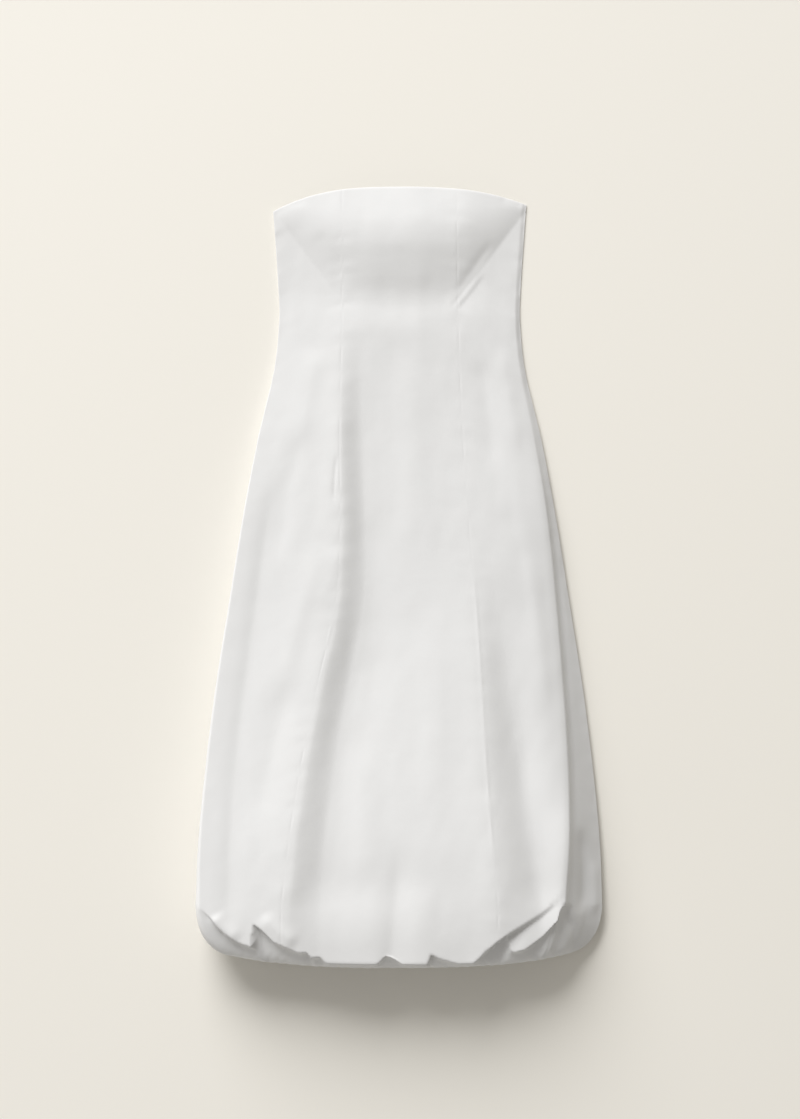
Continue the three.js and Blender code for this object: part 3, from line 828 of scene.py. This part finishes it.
def panel_object(name, side, low, high):
    """The outer face of one panel as a mesh, with its own lengths as texture coordinates."""
    first, last = (int(np.argmin(np.abs(ACROSS[side] - edge))) for edge in (low, high))
    points = CLOTH_POINTS[side][:, first : last + 1]
    normals = outward(CLOTH_POINTS[side], side)[:, first : last + 1]
    points = np.concatenate([neck_rows(points, normals), points])
    rows, wide = points.shape[:2]
    index = np.arange(rows * wide).reshape(rows, wide)
    corners = [index[:-1, :-1], index[1:, :-1], index[1:, 1:], index[:-1, 1:]]
    faces = np.stack(corners if side == "front" else corners[::-1], axis=-1).reshape(-1, 4)
    mesh = bpy.data.meshes.new(name)
    mesh.from_pydata((points.reshape(-1, 3) * MM).tolist(), [], faces.tolist())
    width_mm, length_mm = lengths(points, 1), lengths(points, 0)
    width_mm = width_mm - width_mm[:, -1:] / 2
    flat = np.stack([width_mm, length_mm], axis=-1).reshape(-1, 2) * MM
    layer = mesh.uv_layers.new(name=CLOTH_MAP)
    layer.data.foreach_set("uv", flat[faces.reshape(-1)].astype(np.float32).ravel())
    mesh.polygons.foreach_set("use_smooth", [True] * len(faces))
    sharpen_border(mesh, rows, wide)
    piece = bpy.data.objects.new("cloth_" + name, mesh)
    bpy.context.scene.collection.objects.link(piece)
    shell = piece.modifiers.new("thickness", "SOLIDIFY")
    shell.thickness = THICKNESS * MM
    shell.offset = -1
    area = float(sum(face.area for face in mesh.polygons))
    cut = (float(width_mm.max() - width_mm.min()) * MM, float(length_mm.max()) * MM)
    return piece, cut, area


DRESS = {name: panel_object(name, side, low, high) for name, side, low, high in PANELS}
for name, (piece, cut, area) in DRESS.items():
    print(name, "cut", [round(size, 3) for size in cut], "m, area", round(area, 3), "m2")

# %% [markdown]
# ## Materials from sums
#
# A material is a small network of nodes. Wiring them one by one is slow to write and hard to read,
# so a socket is wrapped in a class that knows how to add and multiply. A line such as
# `0.8 + blotch * 0.12` then adds its Math nodes by itself.

# %% A socket that can be used like a number


class Wire:
    """An output socket of a material's node tree, or a bare tree to start from."""

    def __init__(self, tree, socket=None):
        self.tree = tree
        self.socket = socket

    def node(self, kind, settings=None, inputs=None, output=0):
        """Adds a node: its settings come first, then values or wires for its sockets."""
        made = self.tree.nodes.new(kind)
        for name, value in (settings or {}).items():
            setattr(made, name, value)
        for key, value in (inputs or {}).items():
            if isinstance(value, Wire):
                self.tree.links.new(value.socket, made.inputs[key])
            else:
                made.inputs[key].default_value = value
        return Wire(self.tree, made.outputs[output])

    def math(self, operation, first, second=0.0):
        return self.node("ShaderNodeMath", {"operation": operation}, {0: first, 1: second})

    def __add__(self, other):
        return self.math("ADD", self, other)

    def __radd__(self, other):
        return self.math("ADD", other, self)

    def __mul__(self, other):
        return self.math("MULTIPLY", self, other)

    def __rmul__(self, other):
        return self.math("MULTIPLY", other, self)

    def sine(self):
        return self.math("SINE", self)


def noise(vector, scale, detail):
    """Smooth noise between 0 and 1, in swells of about 1 / scale."""
    inputs = {"Vector": vector, "Scale": scale, "Detail": detail}
    return vector.node("ShaderNodeTexNoise", {}, inputs, "Fac")


def bump(height, strength, distance, under=None):
    """A Bump node over a height, on top of another one where that is given."""
    inputs = {"Strength": strength, "Distance": distance, "Height": height}
    if under is not None:
        inputs["Normal"] = under
    return height.node("ShaderNodeBump", {}, inputs)


def new_material(name, constants):
    """A material with constants on its shader, its tree as a Wire, and that shader."""
    material = bpy.data.materials.new(name)
    material.use_nodes = True
    shader = material.node_tree.nodes["Principled BSDF"]
    for socket, value in constants.items():
        shader.inputs[socket].default_value = value
    return material, Wire(material.node_tree), shader


def feed(shader, name, wire):
    """Links a wire to one of the shader's sockets."""
    wire.tree.links.new(wire.socket, shader.inputs[name])


print("helpers ready: a socket class, noise, bump and material")

# %% [markdown]
# ## White cotton poplin
#
# Poplin is a plain weave: threads go over and under each other, about four to the millimetre. They
# vary in thickness, which makes faint streaks along both directions. The colour is nearly one white,
# a little uneven, and the surface is matt with a soft fuzz. All of this is measured along the cloth,
# in its own coordinates, so that the threads follow each panel over its folds.

# %% The cotton material
# All lengths of a material are in metres, and scales are per metre. Two threads make one repeat
WEAVE_REPEAT = 0.00045
STREAKS = [(1400, 30, 1), (30, 1400, 1)]
CRUMPLE = {"scale": 38.0, "detail": 4.0}
BLOTCH = {"scale": 9.0, "detail": 3.0}
STREAK_DETAIL = 2.0
WHITE = (0.708, 0.708, 0.708, 1)
WHITE_SHADE = (0.688, 0.688, 0.691, 1)
# The shares of blotches and streaks in the colour, and of the weave in the relief of the threads
BLOTCH_SHARE = 0.6
STREAK_SHARE = 0.2
WEAVE_SHARE = 0.5
THREAD_BUMP = {"strength": 0.35, "distance": 0.00004}
CRUMPLE_BUMP = {"strength": 0.6, "distance": 0.0005}
ROUGH_LEAST = 0.8
ROUGH_VARIES = 0.12
COTTON_SURFACE = {"Sheen Weight": 0.12, "Sheen Roughness": 0.5, "Specular IOR Level": 0.25}
# The Mix node's sockets for its factor and two colours, and for the mixed colour, by their place
MIX_INPUTS = (0, 6, 7)
MIX_RESULT = 2


def cotton():
    """White poplin, with its weave, its streaks and a soft crumple."""
    material, graph, shader = new_material("white_cotton_poplin", COTTON_SURFACE)
    cloth = graph.node("ShaderNodeUVMap", {"uv_map": CLOTH_MAP})
    u = graph.node("ShaderNodeSeparateXYZ", inputs={0: cloth})
    v = Wire(graph.tree, u.socket.node.outputs[1])
    turns = 2 * math.pi / WEAVE_REPEAT
    weave = (u * turns).sine() * (v * turns).sine()

    def streaks(stretch):
        scaled = graph.node("ShaderNodeVectorMath", {"operation": "MULTIPLY"}, {0: cloth, 1: stretch})
        return noise(scaled, 1.0, STREAK_DETAIL)

    threads = streaks(STREAKS[0]) + streaks(STREAKS[1])
    crumple = noise(cloth, **CRUMPLE)
    blotch = noise(cloth, **BLOTCH)
    white_share = blotch * BLOTCH_SHARE + threads * STREAK_SHARE
    mixed = dict(zip(MIX_INPUTS, (white_share, WHITE_SHADE, WHITE)))
    colour = graph.node("ShaderNodeMix", {"data_type": "RGBA"}, mixed, MIX_RESULT)
    fine = bump(weave * WEAVE_SHARE + threads, **THREAD_BUMP)
    feed(shader, "Base Color", colour)
    feed(shader, "Normal", bump(crumple, under=fine, **CRUMPLE_BUMP))
    feed(shader, "Roughness", ROUGH_LEAST + blotch * ROUGH_VARIES)
    return material


COTTON = cotton()
for piece, _, _ in DRESS.values():
    piece.data.materials.append(COTTON)
print("material:", COTTON.name)

# %% [markdown]
# ## Each panel takes the place of its solid
#
# Every panel rides on the one body of the dress and takes the place of its solid, which is hidden.

for name, side, _, _ in PANELS:
    piece, cut, area = DRESS[name]
    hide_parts(name)
    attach(piece, "root")
print("panels declared:", len(DRESS))

# %% [markdown]
# ## The floor
#
# The dress lies on a pale, warm, matt surface. A large plane does it: with nothing else near, its
# own edge is never seen, and a trace of grain keeps it from looking like paper.

# %% A pale floor
# Sizes of the floor are in metres
FLOOR_SIZE = 14.0
FLOOR_DROP = 0.0004
FLOOR_COLOUR = (0.815, 0.79, 0.735, 1)
FLOOR_SURFACE = {"Base Color": FLOOR_COLOUR, "Roughness": 0.9, "Specular IOR Level": 0.1}
GRAIN = {"scale": 300.0, "detail": 2.0}
GRAIN_BUMP = {"strength": 0.1, "distance": 0.0004}


def pale_floor():
    """A large plane just under the dress."""
    bpy.ops.mesh.primitive_plane_add(size=FLOOR_SIZE, location=(0, 0, -FLOOR_DROP))
    floor = bpy.context.object
    floor.name = "floor"
    material, graph, shader = new_material("pale_floor", FLOOR_SURFACE)
    place = graph.node("ShaderNodeTexCoord", output="Object")
    feed(shader, "Normal", bump(noise(place, **GRAIN), **GRAIN_BUMP))
    floor.data.materials.append(material)
    return floor


FLOOR = pale_floor()
print("floor at", round(FLOOR.location.z / MM, 2), "mm")

# %% [markdown]
# ## The camera
#
# The picture was taken from straight above with a long lens, so nothing leans outwards. A camera
# without perspective would do too. A real one that stands far away is nearer to how the picture was
# taken, and its lens follows from how many millimetres of the dress one pixel shows.

# %% Camera straight above
IMAGE_WIDTH, IMAGE_HEIGHT = 800, 1119
MM_PER_PIXEL = 1.5
MIDDLE_PIXEL = (399.5, 577.5)
# The height and how far it sees are in metres, the sensor in millimetres
CAMERA_HEIGHT = 8.0
SEES_TO = 50.0
SENSOR = 36.0


def look_down():
    """A camera that looks straight down at the middle of the picture."""
    data = bpy.data.cameras.new("camera")
    camera = bpy.data.objects.new("camera", data)
    bpy.context.scene.collection.objects.link(camera)
    off_x = (IMAGE_WIDTH / 2 - MIDDLE_PIXEL[0]) * MM_PER_PIXEL * MM
    off_y = (MIDDLE_PIXEL[1] - IMAGE_HEIGHT / 2) * MM_PER_PIXEL * MM
    camera.location = (off_x, off_y, CAMERA_HEIGHT)
    data.sensor_fit = "VERTICAL"
    data.sensor_height = SENSOR
    data.lens = SENSOR * CAMERA_HEIGHT / (IMAGE_HEIGHT * MM_PER_PIXEL * MM)
    data.clip_end = SEES_TO
    bpy.context.scene.camera = camera
    return camera


CAMERA = look_down()
print("lens:", round(CAMERA.data.lens), "mm on a", SENSOR, "mm sensor")

# %% [markdown]
# ## The light
#
# One large soft lamp stands at the upper left, which is why the folds are dark on their right and
# the shadow lies below the hem and to the right. A single lamp would leave that shadow black, so an
# even sky fills it. Two weak lamps help: a small one nearer the dress adds a little shape to the
# folds, and one low at the lower left stands for the light that comes back from the room.

# %% Soft light from the upper left
# Each lamp's place and size in metres, and its power in watts
LAMPS = {
    "key": ((-7.1, 16.2, 9.5), 15.0, 5600.0),
    "fill": ((-1.0, 1.4, 2.0), 1.4, 5.0),
    "bounce": ((-2.2, -2.6, 1.0), 2.0, 10.0),
}
SKY = 0.37
SKY_COLOUR = (1.0, 0.97, 0.91, 1)


def soft_light(name, place, size, power):
    """A round lamp that points at the middle of the dress."""
    data = bpy.data.lights.new(name, "AREA")
    data.shape = "DISK"
    data.size = size
    data.energy = power
    lamp = bpy.data.objects.new(name, data)
    bpy.context.scene.collection.objects.link(lamp)
    lamp.location = place
    to_dress = -lamp.location
    lamp.rotation_euler = to_dress.to_track_quat("-Z", "Y").to_euler()


def even_sky():
    """The same light from everywhere."""
    world = bpy.data.worlds.new("sky")
    bpy.context.scene.world = world
    world.use_nodes = True
    background = world.node_tree.nodes["Background"]
    background.inputs["Color"].default_value = SKY_COLOUR
    background.inputs["Strength"].default_value = SKY


for name, (place, size, power) in LAMPS.items():
    soft_light(name, place, size, power)
even_sky()
bpy.context.scene.view_settings.view_transform = "Standard"
print("lamps:", ", ".join(LAMPS), "and an even sky of", SKY)
